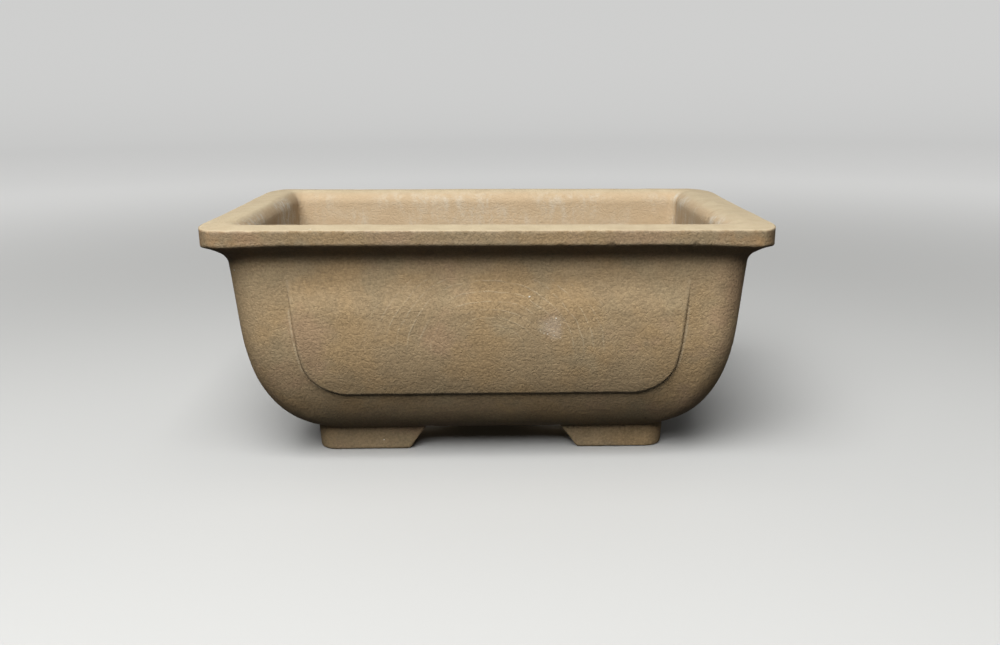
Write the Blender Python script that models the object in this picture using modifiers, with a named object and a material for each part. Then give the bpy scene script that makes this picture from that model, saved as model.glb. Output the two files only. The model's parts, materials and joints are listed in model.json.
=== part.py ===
"""Rectangular unglazed stoneware bonsai pot, built from clay slabs.

The pot is luted together from a floor slab, four bag-shaped wall slabs and four lip strips,
all mitred at the corners, with a raised panel on each wall and a cut foot under each corner.
Units are metres, +Z is up. The origin is under the middle of the pot, on the surface that
the feet stand on. +X runs along the long side, and -Y is the front.

Sections are given as (inset, z): inset is the distance inwards from the lip's outer edge.
"""

import math

import bmesh
import bpy
from mathutils import Matrix, Vector

MM = 0.001

# ---- driving dimensions -----------------------------------------------------------------
WIDTH = 150.0 * MM            # over the lip, long side
DEPTH = 105.0 * MM            # over the lip, short side
HEIGHT = 66.4 * MM            # table to the crest of the lip
FOOT_HEIGHT = 5.7 * MM        # table to the pot's flat underside
SLAB = 6.0 * MM               # thickness of the wall and floor slabs
CORNER_RADIUS = 8.3 * MM      # plan radius of the lip and of the outside of the walls
GAP = 0.3 * MM                # the luting slip between two pieces

# ---- walls: a straight batter, then a superellipse that rolls under to the floor ---------
WALL_TOP = 57.2 * MM
WALL_INSET = 6.4 * MM        # the lip's overhang past the top of the wall
WALL_COLLAR = 0.8 * MM        # upright stretch at the top, where the lip is luted on
WALL_BATTER = 0.093           # inset gained for each unit of drop
BAG_TOP = 40.0 * MM           # where the wall starts to roll under
BAG_REACH = 22.0 * MM         # how far the roll carries the wall inwards
BAG_POWER = 2.4               # 2 is an ellipse, more is squarer
BAG_STEPS = 16

# ---- lip strips ---------------------------------------------------------------------------
LIP_WIDTH = WALL_INSET + SLAB
LIP_FASCIA = 3.7 * MM         # height of the outer face
LIP_UNDER_SLOPE = 30          # degrees that the underside falls towards the wall
LIP_CREST_INSET = 7.5 * MM    # the top falls gently both ways from here
LIP_CREST_RISE = 0.5 * MM    # the crest stands this far over the outer edge
LIP_EDGE_RADIUS = 0.9 * MM    # lower outer edge
LIP_INNER_RADIUS = 3.0 * MM   # rounded edge into the pot
LIP_COVE_RADIUS = 2.8 * MM    # hollow where the underside meets the wall

# ---- raised panels ------------------------------------------------------------------------
PANEL_MARGIN = 15.5 * MM      # from the virtual corner of the wall to the panel's side
PANEL_BOTTOM = 21.1 * MM
PANEL_TOP = 56.8 * MM
PANEL_CORNER = 9.0 * MM
PANEL_PROUD = 1.0 * MM        # outer face of the panel over the face of the wall
PANEL_STEPS = 8

# ---- floor holes --------------------------------------------------------------------------
DRAIN_DIAMETER = 12.5 * MM
DRAIN_SPACING = 42.0 * MM
WIRE_HOLE_DIAMETER = 3.0 * MM
WIRE_HOLE_X = 34.0 * MM
WIRE_HOLE_Y = 11.0 * MM

# ---- feet: one band round the base, cut away in the middle of each side -------------------
FOOT_INSET = 25.2 * MM
FOOT_BAND = 9.0 * MM
FOOT_CORNER = 5.0 * MM
FOOT_EDGE = 0.8 * MM          # chamfer of the lower outer edge
FOOT_LEAN = 0.4 * MM          # the outer face leans inwards by this much towards the table
FOOT_LONG = 29.0 * MM         # along the long side, where the foot meets the pot
FOOT_SHORT = 16.0 * MM        # along the short side
FOOT_RAKE = 3.5 * MM          # how much shorter the foot is where it stands

CORNER_STEPS = 10             # facets in each quarter turn of the plan
RADIAL_STEPS = 32             # facets of a drainage hole
CUT_MARGIN = 10.0 * MM        # cutters run past what they cut by this much
WEDGE_SHARE = 0.8             # a mitre wedge reaches this share of the way to the middle
SHARP_ANGLE = 35              # degrees; arrises sharper than this stay crisp

# name, half length, distance from the middle, turn about Z
SIDES = (
    ("front", WIDTH / 2, DEPTH / 2, 0.0),
    ("right", DEPTH / 2, WIDTH / 2, math.pi / 2),
    ("back", WIDTH / 2, DEPTH / 2, math.pi),
    ("left", DEPTH / 2, WIDTH / 2, -math.pi / 2),
)
CORNERS = (
    ("front_left", -1, -1),
    ("front_right", 1, -1),
    ("back_left", -1, 1),
    ("back_right", 1, 1),
)

# base colour and roughness of the fired clay, piece by piece
CLAY = {
    "wall": ((0.32, 0.24, 0.15, 1.0), 0.85),
    "lip": ((0.46, 0.37, 0.24, 1.0), 0.80),
    "panel": ((0.34, 0.25, 0.16, 1.0), 0.82),
    "floor": ((0.30, 0.23, 0.15, 1.0), 0.90),
    "foot": ((0.28, 0.21, 0.13, 1.0), 0.88),
}


# ---- sections -----------------------------------------------------------------------------
def arc(centre, radius, start, end, steps):
    """Points on an arc in the (inset, z) plane, angles in degrees from the +inset direction."""
    points = []
    for i in range(steps + 1):
        angle = math.radians(start + (end - start) * i / steps)
        points.append((centre[0] + radius * math.cos(angle), centre[1] + radius * math.sin(angle)))
    return points


def wall_point(roll):
    """A point of the wall's outer face: roll 0 is where the bag starts, 1 is the flat underside."""
    angle = roll * math.pi / 2
    power = 2.0 / BAG_POWER
    z = BAG_TOP - (BAG_TOP - FOOT_HEIGHT) * math.sin(angle) ** power
    rolled_in = BAG_REACH * (1.0 - max(math.cos(angle), 0.0) ** power)
    return WALL_INSET + WALL_BATTER * (WALL_TOP - WALL_COLLAR - z) + rolled_in, z


def wall_section():
    """The wall's outer face from its top edge down to where it meets the floor slab."""
    points = [(WALL_INSET, WALL_TOP), (WALL_INSET, WALL_TOP - WALL_COLLAR)]
    points += [wall_point(i / BAG_STEPS) for i in range(BAG_STEPS + 1)]
    return points


def wall_inset_at(z):
    """Inset of the wall's outer face at one height."""
    section = wall_section()
    for (inset_a, z_a), (inset_b, z_b) in zip(section, section[1:]):
        if z_b <= z <= z_a:
            share = (z_a - z) / (z_a - z_b)
            return inset_a + (inset_b - inset_a) * share
    raise ValueError("height is off the wall")


def stand_off(section, distance):
    """The section moved outwards, square to itself."""
    moved = []
    for i, (inset, z) in enumerate(section):
        before = section[max(i - 1, 0)]
        after = section[min(i + 1, len(section) - 1)]
        along = Vector((after[0] - before[0], after[1] - before[1])).normalized()
        moved.append((inset + along.y * distance, z - along.x * distance))
    return moved


def lip_section():
    """Closed section of a lip strip, down the outer face, in under the lip and back over the top."""
    top_outer = HEIGHT - LIP_CREST_RISE
    bottom = top_outer - LIP_FASCIA
    root = WALL_TOP + GAP
    points = [(0.0, top_outer)]
    points += arc((LIP_EDGE_RADIUS, bottom + LIP_EDGE_RADIUS), LIP_EDGE_RADIUS, 180, 270 - LIP_UNDER_SLOPE, 4)
    # the underside falls straight to where the cove starts
    slope = math.radians(LIP_UNDER_SLOPE)
    edge_inset, edge_z = points[-1]
    cove_inset = WALL_INSET - LIP_COVE_RADIUS * (1 - math.sin(slope))
    cove_z = edge_z - (cove_inset - edge_inset) * math.tan(slope) - LIP_COVE_RADIUS * math.cos(slope)
    points += arc((WALL_INSET - LIP_COVE_RADIUS, cove_z), LIP_COVE_RADIUS, 90 - LIP_UNDER_SLOPE, 0, 4)
    points += [(WALL_INSET, root), (LIP_WIDTH, root)]
    points += arc((LIP_WIDTH - LIP_INNER_RADIUS, HEIGHT - LIP_CREST_RISE - LIP_INNER_RADIUS),
                  LIP_INNER_RADIUS, 0, 84, 6)
    points += [(LIP_CREST_INSET, HEIGHT)]
    return points


def corner_radius(inset):
    """Plan radius at one inset: constant outside the walls, concentric with them inside."""
    return CORNER_RADIUS - min(max(inset - WALL_INSET, 0.0), SLAB)


# ---- meshes -------------------------------------------------------------------------------
def plan_ring(inset, z, radius):
    """Rounded rectangle at one inset, counter-clockwise seen from above."""
    ring = []
    half_x = WIDTH / 2 - inset - radius
    half_y = DEPTH / 2 - inset - radius
    for quarter, (sign_x, sign_y) in enumerate(((1, 1), (-1, 1), (-1, -1), (1, -1))):
        for i in range(CORNER_STEPS + 1):
            angle = (quarter + i / CORNER_STEPS) * math.pi / 2
            ring.append((sign_x * half_x + radius * math.cos(angle),
                         sign_y * half_y + radius * math.sin(angle), z))
    return ring


def loft(name, rings, closed=False, capped=False):
    """Mesh through a list of rings; each ring is a closed plan at its own height."""
    bm = bmesh.new()
    rows = [[bm.verts.new(point) for point in ring] for ring in rings]
    pairs = list(zip(rows, rows[1:]))
    if closed:
        pairs.append((rows[-1], rows[0]))
    for upper, lower in pairs:
        count = len(upper)
        for i in range(count):
            j = (i + 1) % count
            bm.faces.new((upper[i], lower[i], lower[j], upper[j]))
    if capped:
        bm.faces.new(rows[0])
        bm.faces.new(list(reversed(rows[-1])))
    return as_mesh(name, bm)


def as_mesh(name, bm):
    """Turn a bmesh into mesh data, shaded smooth but for its arrises."""
    mesh = bpy.data.meshes.new(name)
    bm.to_mesh(mesh)
    bm.free()
    mesh.shade_smooth()
    mesh.set_sharp_from_angle(angle=math.radians(SHARP_ANGLE))
    return mesh


def block(low, high):
    """Box between two corners, made from a cube primitive."""
    bm = bmesh.new()
    size = [h - l for l, h in zip(low, high)]
    middle = [(l + h) / 2 for l, h in zip(low, high)]
    bmesh.ops.create_cube(bm, size=1.0)
    bmesh.ops.scale(bm, vec=size, verts=bm.verts)
    bmesh.ops.translate(bm, vec=middle, verts=bm.verts)
    return bm


# ---- objects ------------------------------------------------------------------------------
def clay_material(name, kind):
    """The fired clay of one piece."""
    colour, roughness = CLAY[kind]
    material = bpy.data.materials.new("clay_" + name)
    material.use_nodes = True
    shader = material.node_tree.nodes["Principled BSDF"]
    shader.inputs["Base Color"].default_value = colour
    shader.inputs["Roughness"].default_value = roughness
    shader.inputs["Metallic"].default_value = 0.0
    material.diffuse_color = colour
    return material


def add_piece(name, mesh, kind):
    """Put one sub-part in the pot's collection, with its own material."""
    piece = bpy.data.objects.new(name, mesh)
    piece.parent = POT
    PARTS.objects.link(piece)
    # the mesh may be shared, so the material sits on the object
    if not mesh.materials:
        mesh.materials.append(None)
    piece.material_slots[0].link = "OBJECT"
    piece.material_slots[0].material = clay_material(name, kind)
    return piece


def add_cutter(name, mesh):
    """Put a cutting body in its own collection, out of the render."""
    cutter = bpy.data.objects.new(name, mesh)
    cutter.hide_render = True
    cutter.display_type = "WIRE"
    CUTTERS.objects.link(cutter)
    return cutter


def cut(piece, cutter, operation):
    """Boolean one piece with one cutter."""
    modifier = piece.modifiers.new(operation.lower() + "_" + cutter.name, "BOOLEAN")
    modifier.operation = operation
    modifier.object = cutter
    modifier.solver = "EXACT"


def slab(piece, thickness, offset):
    """Give an open surface its thickness."""
    modifier = piece.modifiers.new("slab", "SOLIDIFY")
    modifier.thickness = thickness
    modifier.offset = offset
    modifier.use_even_offset = True


def mitre_wedge(side, half_length, distance, turn):
    """Prism that keeps one side of the pot, up to half a gap short of the mitre planes."""
    outer = distance + CUT_MARGIN
    inner = distance - DEPTH / 2 * WEDGE_SHARE
    bm = block((-1.0, -outer, -CUT_MARGIN), (1.0, -inner, HEIGHT + CUT_MARGIN))
    for vert in bm.verts:
        # the mitre planes run at 45 degrees from the lip's virtual corners
        vert.co.x *= half_length - distance - vert.co.y - GAP / math.sqrt(2)
    cutter = add_cutter("mitre_" + side, as_mesh("mitre_" + side, bm))
    cutter.rotation_euler.z = turn
    return cutter


def make_walls_and_lip(wedges):
    """One ring each for the walls and the lip, cut at the mitres into four slabs and four strips."""
    wall_mesh = loft("wall_ring", [plan_ring(s, z, CORNER_RADIUS) for s, z in wall_section()])
    lip_mesh = loft("lip_ring", [plan_ring(s, z, corner_radius(s)) for s, z in lip_section()], closed=True)
    for side, wedge in wedges.items():
        wall = add_piece("wall_" + side, wall_mesh, "wall")
        slab(wall, SLAB, -1.0)
        cut(wall, wedge, "INTERSECT")
        strip = add_piece("rim_" + side, lip_mesh, "lip")
        cut(strip, wedge, "INTERSECT")


def panel_heights():
    """Heights of the panel's rows: close together round the lower corners."""
    rows = []
    for i in range(PANEL_STEPS + 1):
        angle = i / PANEL_STEPS * math.pi / 2
        rows.append(PANEL_BOTTOM + PANEL_CORNER * (1.0 - math.cos(angle)))
    straight = PANEL_TOP - rows[-1]
    for i in range(1, PANEL_STEPS + 1):
        rows.append(PANEL_TOP - straight * (1 - i / PANEL_STEPS))
    return rows


def make_panel(side, half_length, distance, turn):
    """Raised panel: the wall's own section carried across the side, with rounded lower corners."""
    section = [(wall_inset_at(z), z) for z in reversed(panel_heights())]
    bm = bmesh.new()
    rows = []
    for (inset, z), (lifted_inset, lifted_z) in zip(section, stand_off(section, GAP)):
        corner_drop = max(PANEL_BOTTOM + PANEL_CORNER - z, 0.0)
        pulled_in = PANEL_CORNER - math.sqrt(max(PANEL_CORNER ** 2 - corner_drop ** 2, 0.0))
        half = half_length - inset - PANEL_MARGIN - pulled_in
        y = lifted_inset - distance
        rows.append([bm.verts.new((-half, y, lifted_z)), bm.verts.new((half, y, lifted_z))])
    for upper, lower in zip(rows, rows[1:]):
        bm.faces.new((upper[0], lower[0], lower[1], upper[1]))
    panel = add_piece("panel_" + side, as_mesh("panel_" + side, bm), "panel")
    panel.rotation_euler.z = turn
    slab(panel, PANEL_PROUD - GAP, 1.0)


def round_hole(name, diameter, x, y):
    """Upright cylinder through the floor."""
    bm = bmesh.new()
    bmesh.ops.create_cone(bm, cap_ends=True, segments=RADIAL_STEPS, radius1=diameter / 2,
                          radius2=diameter / 2, depth=SLAB + 2 * CUT_MARGIN)
    cutter = add_cutter(name, as_mesh(name, bm))
    cutter.location = (x, y, FOOT_HEIGHT + SLAB / 2)
    return cutter


def make_floor():
    """Floor slab inside the walls' lower edge, with two drainage holes and four for tying wire."""
    edge = wall_section()[-1][0] + GAP
    bm = block((-WIDTH / 2 + edge, -DEPTH / 2 + edge, FOOT_HEIGHT),
               (WIDTH / 2 - edge, DEPTH / 2 - edge, FOOT_HEIGHT + SLAB))
    upright = [e for e in bm.edges if abs(e.verts[0].co.z - e.verts[1].co.z) > SLAB / 2]
    bmesh.ops.bevel(bm, geom=upright, offset=CORNER_RADIUS - GAP, segments=CORNER_STEPS,
                    profile=0.5, affect="EDGES")
    floor = add_piece("floor", as_mesh("floor", bm), "floor")
    for side, sign in (("left", -1), ("right", 1)):
        cut(floor, round_hole("drain_" + side, DRAIN_DIAMETER, sign * DRAIN_SPACING / 2, 0.0), "DIFFERENCE")
    for corner, sign_x, sign_y in CORNERS:
        hole = round_hole("wire_" + corner, WIRE_HOLE_DIAMETER, sign_x * WIRE_HOLE_X, sign_y * WIRE_HOLE_Y)
        cut(floor, hole, "DIFFERENCE")


def foot_band_section():
    """Closed section of the band that the feet are cut from."""
    top = FOOT_HEIGHT + SLAB
    inner = FOOT_INSET + FOOT_BAND
    foot = FOOT_INSET + FOOT_LEAN
    return [(FOOT_INSET, top), (FOOT_INSET, FOOT_HEIGHT), (foot, FOOT_EDGE),
            (foot + FOOT_EDGE, 0.0), (inner, 0.0), (inner, top)]


def foot_block(corner, sign_x, sign_y):
    """Box round one corner of the base, with its two inner faces raked back towards the table."""
    low = (WIDTH / 2 - FOOT_INSET - FOOT_LONG, DEPTH / 2 - FOOT_INSET - FOOT_SHORT, -CUT_MARGIN)
    high = (WIDTH / 2, DEPTH / 2, FOOT_HEIGHT + CUT_MARGIN)
    bm = block(low, high)
    for vert in bm.verts:
        fall = (FOOT_HEIGHT - vert.co.z) / FOOT_HEIGHT * FOOT_RAKE
        if vert.co.x < WIDTH / 4 + CUT_MARGIN / 2:
            vert.co.x += fall
        if vert.co.y < DEPTH / 4 + CUT_MARGIN / 2:
            vert.co.y += fall
    bmesh.ops.transform(bm, matrix=Matrix.Diagonal((sign_x, sign_y, 1, 1)), verts=bm.verts)
    if sign_x * sign_y < 0:
        bmesh.ops.reverse_faces(bm, faces=bm.faces)
    return add_cutter("foot_block_" + corner, as_mesh("foot_block_" + corner, bm))


def make_feet():
    """Four corner feet, shaped to the underside of the pot."""
    body = loft("pot_form", [plan_ring(s, z, CORNER_RADIUS) for s, z in stand_off(wall_section(), GAP)],
                capped=True)
    pot_form = add_cutter("pot_form", body)
    band = loft("foot_band", [plan_ring(s, z, FOOT_CORNER if s < FOOT_INSET + FOOT_BAND else 1.0 * MM)
                              for s, z in foot_band_section()], closed=True)
    for corner, sign_x, sign_y in CORNERS:
        foot = add_piece("foot_" + corner, band, "foot")
        cut(foot, foot_block(corner, sign_x, sign_y), "INTERSECT")
        cut(foot, pot_form, "DIFFERENCE")


def clear_scene():
    """Start from an empty scene."""
    for old in list(bpy.data.objects):
        bpy.data.objects.remove(old, do_unlink=True)


clear_scene()
PARTS = bpy.data.collections.new("bonsai_pot")
CUTTERS = bpy.data.collections.new("cutters")
bpy.context.scene.collection.children.link(PARTS)
bpy.context.scene.collection.children.link(CUTTERS)
POT = bpy.data.objects.new("pot", None)
PARTS.objects.link(POT)

make_walls_and_lip({entry[0]: mitre_wedge(*entry) for entry in SIDES})
make_floor()
for entry in SIDES:
    make_panel(*entry)
make_feet()
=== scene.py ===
"""The looks of a slab-built stoneware bonsai pot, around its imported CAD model.

Every CAD node is replaced by one finely modelled piece of the same name, with "pot_" before it.
Walls and lip are read off one continuous skin for each side, and only then cut into pieces, so
that they meet as fired clay does, with no seam to be seen.

Units are metres. Sections are in (inset, z): inset is the distance inwards from the lip's outer
edge. Each side is modelled as the front one, facing -Y, and turned into place.
"""

import json
import math

import bmesh
import bpy
import numpy as np
from mathutils import Matrix, Vector


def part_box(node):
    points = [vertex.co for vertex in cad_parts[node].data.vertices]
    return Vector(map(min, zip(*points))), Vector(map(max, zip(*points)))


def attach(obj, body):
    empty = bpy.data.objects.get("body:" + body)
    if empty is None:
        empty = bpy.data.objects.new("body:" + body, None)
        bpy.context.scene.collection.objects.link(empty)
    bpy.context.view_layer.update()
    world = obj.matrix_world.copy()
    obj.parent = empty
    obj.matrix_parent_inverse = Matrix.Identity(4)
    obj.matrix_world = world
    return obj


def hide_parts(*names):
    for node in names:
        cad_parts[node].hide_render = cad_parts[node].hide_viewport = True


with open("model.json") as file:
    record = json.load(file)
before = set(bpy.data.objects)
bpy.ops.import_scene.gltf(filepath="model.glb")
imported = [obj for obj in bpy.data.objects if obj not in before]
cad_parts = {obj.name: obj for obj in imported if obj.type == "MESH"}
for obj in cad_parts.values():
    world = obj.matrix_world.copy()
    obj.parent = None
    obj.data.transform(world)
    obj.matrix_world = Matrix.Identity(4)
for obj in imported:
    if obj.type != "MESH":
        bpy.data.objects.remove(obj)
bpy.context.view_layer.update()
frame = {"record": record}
MM = 0.001
ROOT = "root"


def node_box(name):
    """Lowest and highest corners of a CAD node."""
    low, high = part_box(name)
    return np.array(low), np.array(high)


# ---- sizes, read from the frame -----------------------------------------------------------
RIM_LOW, RIM_HIGH = node_box("rim_right")
WALL_HIGH = node_box("wall_right")[1]
FLOOR_LOW, FLOOR_HIGH = node_box("floor")
FOOT_LOW, FOOT_HIGH = node_box("foot_front_right")
PANEL_LOW, PANEL_HIGH = node_box("panel_front")

HALF_X = float(RIM_HIGH[0])
HALF_Y = -float(node_box("rim_front")[0][1])
HEIGHT = float(RIM_HIGH[2])
UNDERSIDE = float(FLOOR_LOW[2])
SLAB = float(FLOOR_HIGH[2] - FLOOR_LOW[2])
WALL_TOP = float(RIM_LOW[2] + WALL_HIGH[2]) / 2
WALL_INSET = HALF_X - float(WALL_HIGH[0])
FOOT_INSET = HALF_X - float(FOOT_HIGH[0])
FOOT_LONG = float(FOOT_HIGH[0] - FOOT_LOW[0])
FOOT_SHORT = float(FOOT_HIGH[1] - FOOT_LOW[1])

OPENINGS = {entry["name"]: entry["box_m"] for entry in frame["record"]["physics"]["openings"]}
DRAIN_X = sum(corner[0] for corner in OPENINGS["drain_right"]) / 2

# ---- the walls' and the lip's sections ------------------------------------------------------
CORNER = 8.3 * MM             # plan radius of the outside of the walls
LIP_CORNER_X = 6.5 * MM       # the lip's corners are drawn out along the short sides
LIP_CORNER_Y = 15.0 * MM
BATTER = 0.093                # inset gained by the wall for each unit of drop
BAG_TOP = 40.0 * MM           # where the wall starts to roll under
BAG_REACH = 22.2 * MM
BAG_POWER = 2.4
CREST = HEIGHT + 0.55 * MM    # the lip's top falls both ways from its crest
CREST_INSET = 6.3 * MM
CREST_RISE = 0.65 * MM
CREST_ROUND = 9.0 * MM
INNER_FALL = 0.45 * MM
INNER_ROUND = 4.4 * MM
THINNER = 1.0 * MM            # the walls are this much thinner at the top
THIN_FROM = 24.0 * MM         # and begin to thin at this height
CAVITY_SHIFT = -0.8 * MM      # and the hollow isn't quite in the middle
FASCIA = 3.65 * MM            # the lip's outer face
FASCIA_LEAN = 0.12 * MM
FASCIA_ROUND = 0.9 * MM
UNDER_SLOPE = math.radians(32)  # the lip's underside falls towards the wall
ARRIS = 0.22 * MM
COVE = 4.2 * MM
NECK = WALL_TOP - 4.4 * MM    # the cove under the lip ends above this
DROOP = 0.55 * MM             # the lip's outer face is deeper by this much near the corners
DROOP_LENGTH = 26.0 * MM
SIDE_DROOP = 0.80 * MM        # and by this much more all along the short sides
SIDE_LENGTH = 5.0 * MM
DROOP_BLEND = 4.0 * MM        # the droop fades into the cove over this height

# ---- panels, feet and floor -----------------------------------------------------------------
PANEL_MARGIN = 15.5 * MM
PANEL_CORNER = 9.0 * MM
PANEL_FADE = 9.0 * MM         # the panel's top dies into the wall over this much
PANEL_PROUD = 1.1 * MM
PANEL_ROUND = 1.0 * MM        # width of the rounded edge
PANEL_BED = 0.9 * MM          # how deep the panel is set into the wall
LIMED_X = 16.5 * MM           # middle of a patch of lime specks
LIMED_Z = 40.0 * MM
LIMED_CORE = 1.6 * MM         # it is full to here and fades out by its reach
LIMED_REACH = 3.6 * MM
RING_X = 0.5 * MM             # middle of the rings smeared in the panel
RING_Z = 33.0 * MM
RING_SQUASH = 1.12            # they are longer than they are high by this much
RING_SPACING = 2.75 * MM
NO_PANEL = 10.0 * MM          # a distance that stands for being nowhere near a panel
FOOT_BAND = 9.0 * MM
FOOT_CORNER = 5.0 * MM
FOOT_LEAN = 0.6 * MM
FOOT_RAKE = 4.1 * MM
FOOT_TOP = UNDERSIDE + 0.55 * SLAB   # the feet are set this far up into the clay
FOOT_BEVEL = 0.6 * MM
FOOT_LONGER = 0.35 * MM       # the feet are this much longer than the frame's,
FOOT_UNEVEN = 0.70 * MM       # and the left ones longer still, the right ones shorter
FOOT_VOXEL = 0.36 * MM
FLOOR_BED = 1.2 * MM          # the floor runs this far into the walls
FLOOR_RAISED = 0.03 * MM      # its faces lie just within the walls' clay
FLOOR_LOWERED = 0.04 * MM
FLOOR_VOXEL = 0.55 * MM
DRAIN_RADIUS = 6.25 * MM
WIRE_RADIUS = 1.5 * MM
WIRE_X = 34.0 * MM
WIRE_Y = 11.0 * MM

# ---- what hands, drying and firing did ------------------------------------------------------
# depth, size and seed of the dents left by hands
DENTS = ((0.060 * MM, 8.0 * MM, 21), (0.034 * MM, 3.4 * MM, 22), (0.016 * MM, 1.6 * MM, 23))
NICK = 0.28 * MM              # depth of the knocks on the lip's outer edges
INNER_NICK = 0.25 * MM
WARP = 0.25 * MM              # how far the rim wanders sideways
WAVE = 0.12 * MM              # and up and down
FALL_RIGHT = 0.0085           # slope of the rim down to the right
FALL_BACK = 0.0055            # and down to the back
DRAWN_IN = 0.45 * MM          # how far the short sides are drawn in, half-way along

# ---- mesh spacing ---------------------------------------------------------------------------
STEP = 0.6 * MM               # on the outside
INSIDE_STEP = 1.25 * STEP
LIP_STEP = 0.32 * MM
ARC_COLUMNS = 12              # columns in half a corner
SOFT_ROUNDS = 3               # smoothing rounds for the feet and the floor

# name, half length, distance from the middle, turn about Z
SIDES = (
    ("front", HALF_X, HALF_Y, 0.0),
    ("right", HALF_Y, HALF_X, math.pi / 2),
    ("back", HALF_X, HALF_Y, math.pi),
    ("left", HALF_Y, HALF_X, -math.pi / 2),
)


# ---- smooth, repeatable noise ---------------------------------------------------------------
CELL_PRIMES = (73856093, 19349663, 83492791)
SEED_PRIME = 2654435761
MIX_PRIME = 1274126177


def lattice(cells, seed):
    """One value from -1 to 1 for each whole-number cell."""
    x, y, z = (cells[..., i] * CELL_PRIMES[i] for i in range(3))
    mixed = (x ^ y ^ z ^ seed * SEED_PRIME) & 0x7FFFFFFF
    mixed = (mixed ^ mixed >> 13) * MIX_PRIME & 0x7FFFFFFF
    mixed = (mixed ^ mixed >> 16) & 0xFFFF
    return mixed / 32767.5 - 1.0


def wobble(points, size, seed):
    """Smooth noise from -1 to 1 with features of about one size."""
    scaled = points / size
    cell = np.floor(scaled).astype(np.int64)
    part = scaled - cell
    part = part * part * part * (part * (part * 6 - 15) + 10)
    total = np.zeros(points.shape[:-1])
    for corner in range(8):
        step = np.array([corner & 1, corner >> 1 & 1, corner >> 2 & 1])
        total += np.prod(np.where(step, part, 1 - part), axis=-1) * lattice(cell + step, seed)
    return total


def ramp(value, start, end):
    """0 at start, 1 at end, smooth between."""
    share = np.clip((value - start) / (end - start), 0.0, 1.0)
    return share * share * (3 - 2 * share)


def settle(points):
    """What drying and firing did: a rim a little out of level, and sides not quite true."""
    moved = points.copy()
    up = np.clip(points[..., 2] / HEIGHT, 0.0, 1.0)
    moved[..., 0] += up * WARP * (wobble(points, 46 * MM, 11) + 0.4 * wobble(points, 17 * MM, 12))
    moved[..., 1] += up * WARP * (wobble(points, 52 * MM, 13) + 0.4 * wobble(points, 15 * MM, 14))
    tilt = -FALL_RIGHT * points[..., 0] - FALL_BACK * points[..., 1]
    moved[..., 2] += up * (WAVE * wobble(points, 40 * MM, 15) + tilt)
    # the short sides have drawn in between the corners, most of all at the top
    between = 1 - (points[..., 1] / HALF_Y) ** 2
    moved[..., 0] -= np.sign(points[..., 0]) * DRAWN_IN * up ** 6 * np.maximum(between, 0)
    return moved


def hand_relief(points):
    """Shallow dents and drags left in the clay, as a height."""
    return sum(depth * wobble(points, size, seed) for depth, size, seed in DENTS)


def turned(points, turn):
    """Points turned about Z."""
    cos, sin = math.cos(turn), math.sin(turn)
    x, y = points[..., 0], points[..., 1]
    return np.stack([cos * x - sin * y, sin * x + cos * y, points[..., 2]], axis=-1)


def grid_normals(points):
    """Unit normals of a grid: down the rows, then along the columns."""
    normal = np.cross(np.gradient(points, axis=0), np.gradient(points, axis=1))
    return normal / np.maximum(np.linalg.norm(normal, axis=-1), 1e-12)[..., None]


# ---- sections -------------------------------------------------------------------------------
def resampled(section, step):
    """The same section with evenly spaced points."""
    along = arc_length(section)
    even = np.linspace(0, along[-1], int(along[-1] / step) + 1)
    return np.stack([np.interp(even, along, section[:, i]) for i in range(section.shape[1])], axis=-1)


def arc_length(section):
    """Distance along a section to each of its points."""
    return np.concatenate([[0], np.cumsum(np.linalg.norm(np.diff(section[:, :2], axis=0), axis=1))])


def rounded_path(corners):
    """Fine polyline through (inset, z, radius) corners, each one rounded."""
    points = [np.array(corners[0][:2])]
    for before, here, after in zip(corners, corners[1:], corners[2:]):
        corner = np.array(here[:2])
        back = np.array(before[:2]) - corner
        on = np.array(after[:2]) - corner
        back /= np.linalg.norm(back)
        on /= np.linalg.norm(on)
        half = math.acos(float(np.dot(back, on))) / 2
        reach = here[2] / math.tan(half)
        hub = corner + (back + on) / np.linalg.norm(back + on) * here[2] / math.sin(half)
        turn = math.pi - 2 * half
        for share in np.linspace(0, 1, 25):
            spoke = (corner + back * reach - hub) * math.sin((1 - share) * turn)
            spoke = spoke + (corner + on * reach - hub) * math.sin(share * turn)
            points.append(hub + spoke / math.sin(turn))
    points.append(np.array(corners[-1][:2]))
    return np.array(points)


def bag_section():
    """The wall's outer face from under the lip down to the floor slab."""
    points = []
    for z in np.linspace(NECK, BAG_TOP, 41)[:-1]:
        points.append((battered_inset(z), z))
    power = 2.0 / BAG_POWER
    for angle in np.linspace(0, math.pi / 2, 401):
        z = BAG_TOP - (BAG_TOP - UNDERSIDE) * math.sin(angle) ** power
        rolled_in = BAG_REACH * (1 - max(math.cos(angle), 0.0) ** power)
        points.append((battered_inset(z) + rolled_in, z))
    return resampled(np.array(points), STEP)


def battered_inset(z):
    """Inset of the wall before it rolls under."""
    return WALL_INSET + BATTER * (WALL_TOP - z)


def offset_inwards(section, distance):
    """A section moved into the clay, square to itself."""
    along = np.gradient(section, axis=0)
    along /= np.linalg.norm(along, axis=1)[:, None]
    return section + np.stack([-along[:, 1], along[:, 0]], axis=-1) * distance


def lip_path(inner_start):
    """From the inside of the wall over the lip and back in under it."""
    inner = WALL_INSET + SLAB - THINNER
    top = CREST - CREST_RISE
    low = top - FASCIA
    hollow = low - (WALL_INSET - FASCIA_LEAN) * math.tan(UNDER_SLOPE)
    return resampled(rounded_path([
        (inner_start, NECK, 0),
        (inner, CREST - INNER_FALL, INNER_ROUND),
        (CREST_INSET, CREST, CREST_ROUND),
        (0, top, ARRIS),
        (FASCIA_LEAN, low, FASCIA_ROUND),
        (battered_inset(hollow), hollow, COVE),
        (battered_inset(NECK), NECK, 0),
    ]), LIP_STEP)


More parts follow.
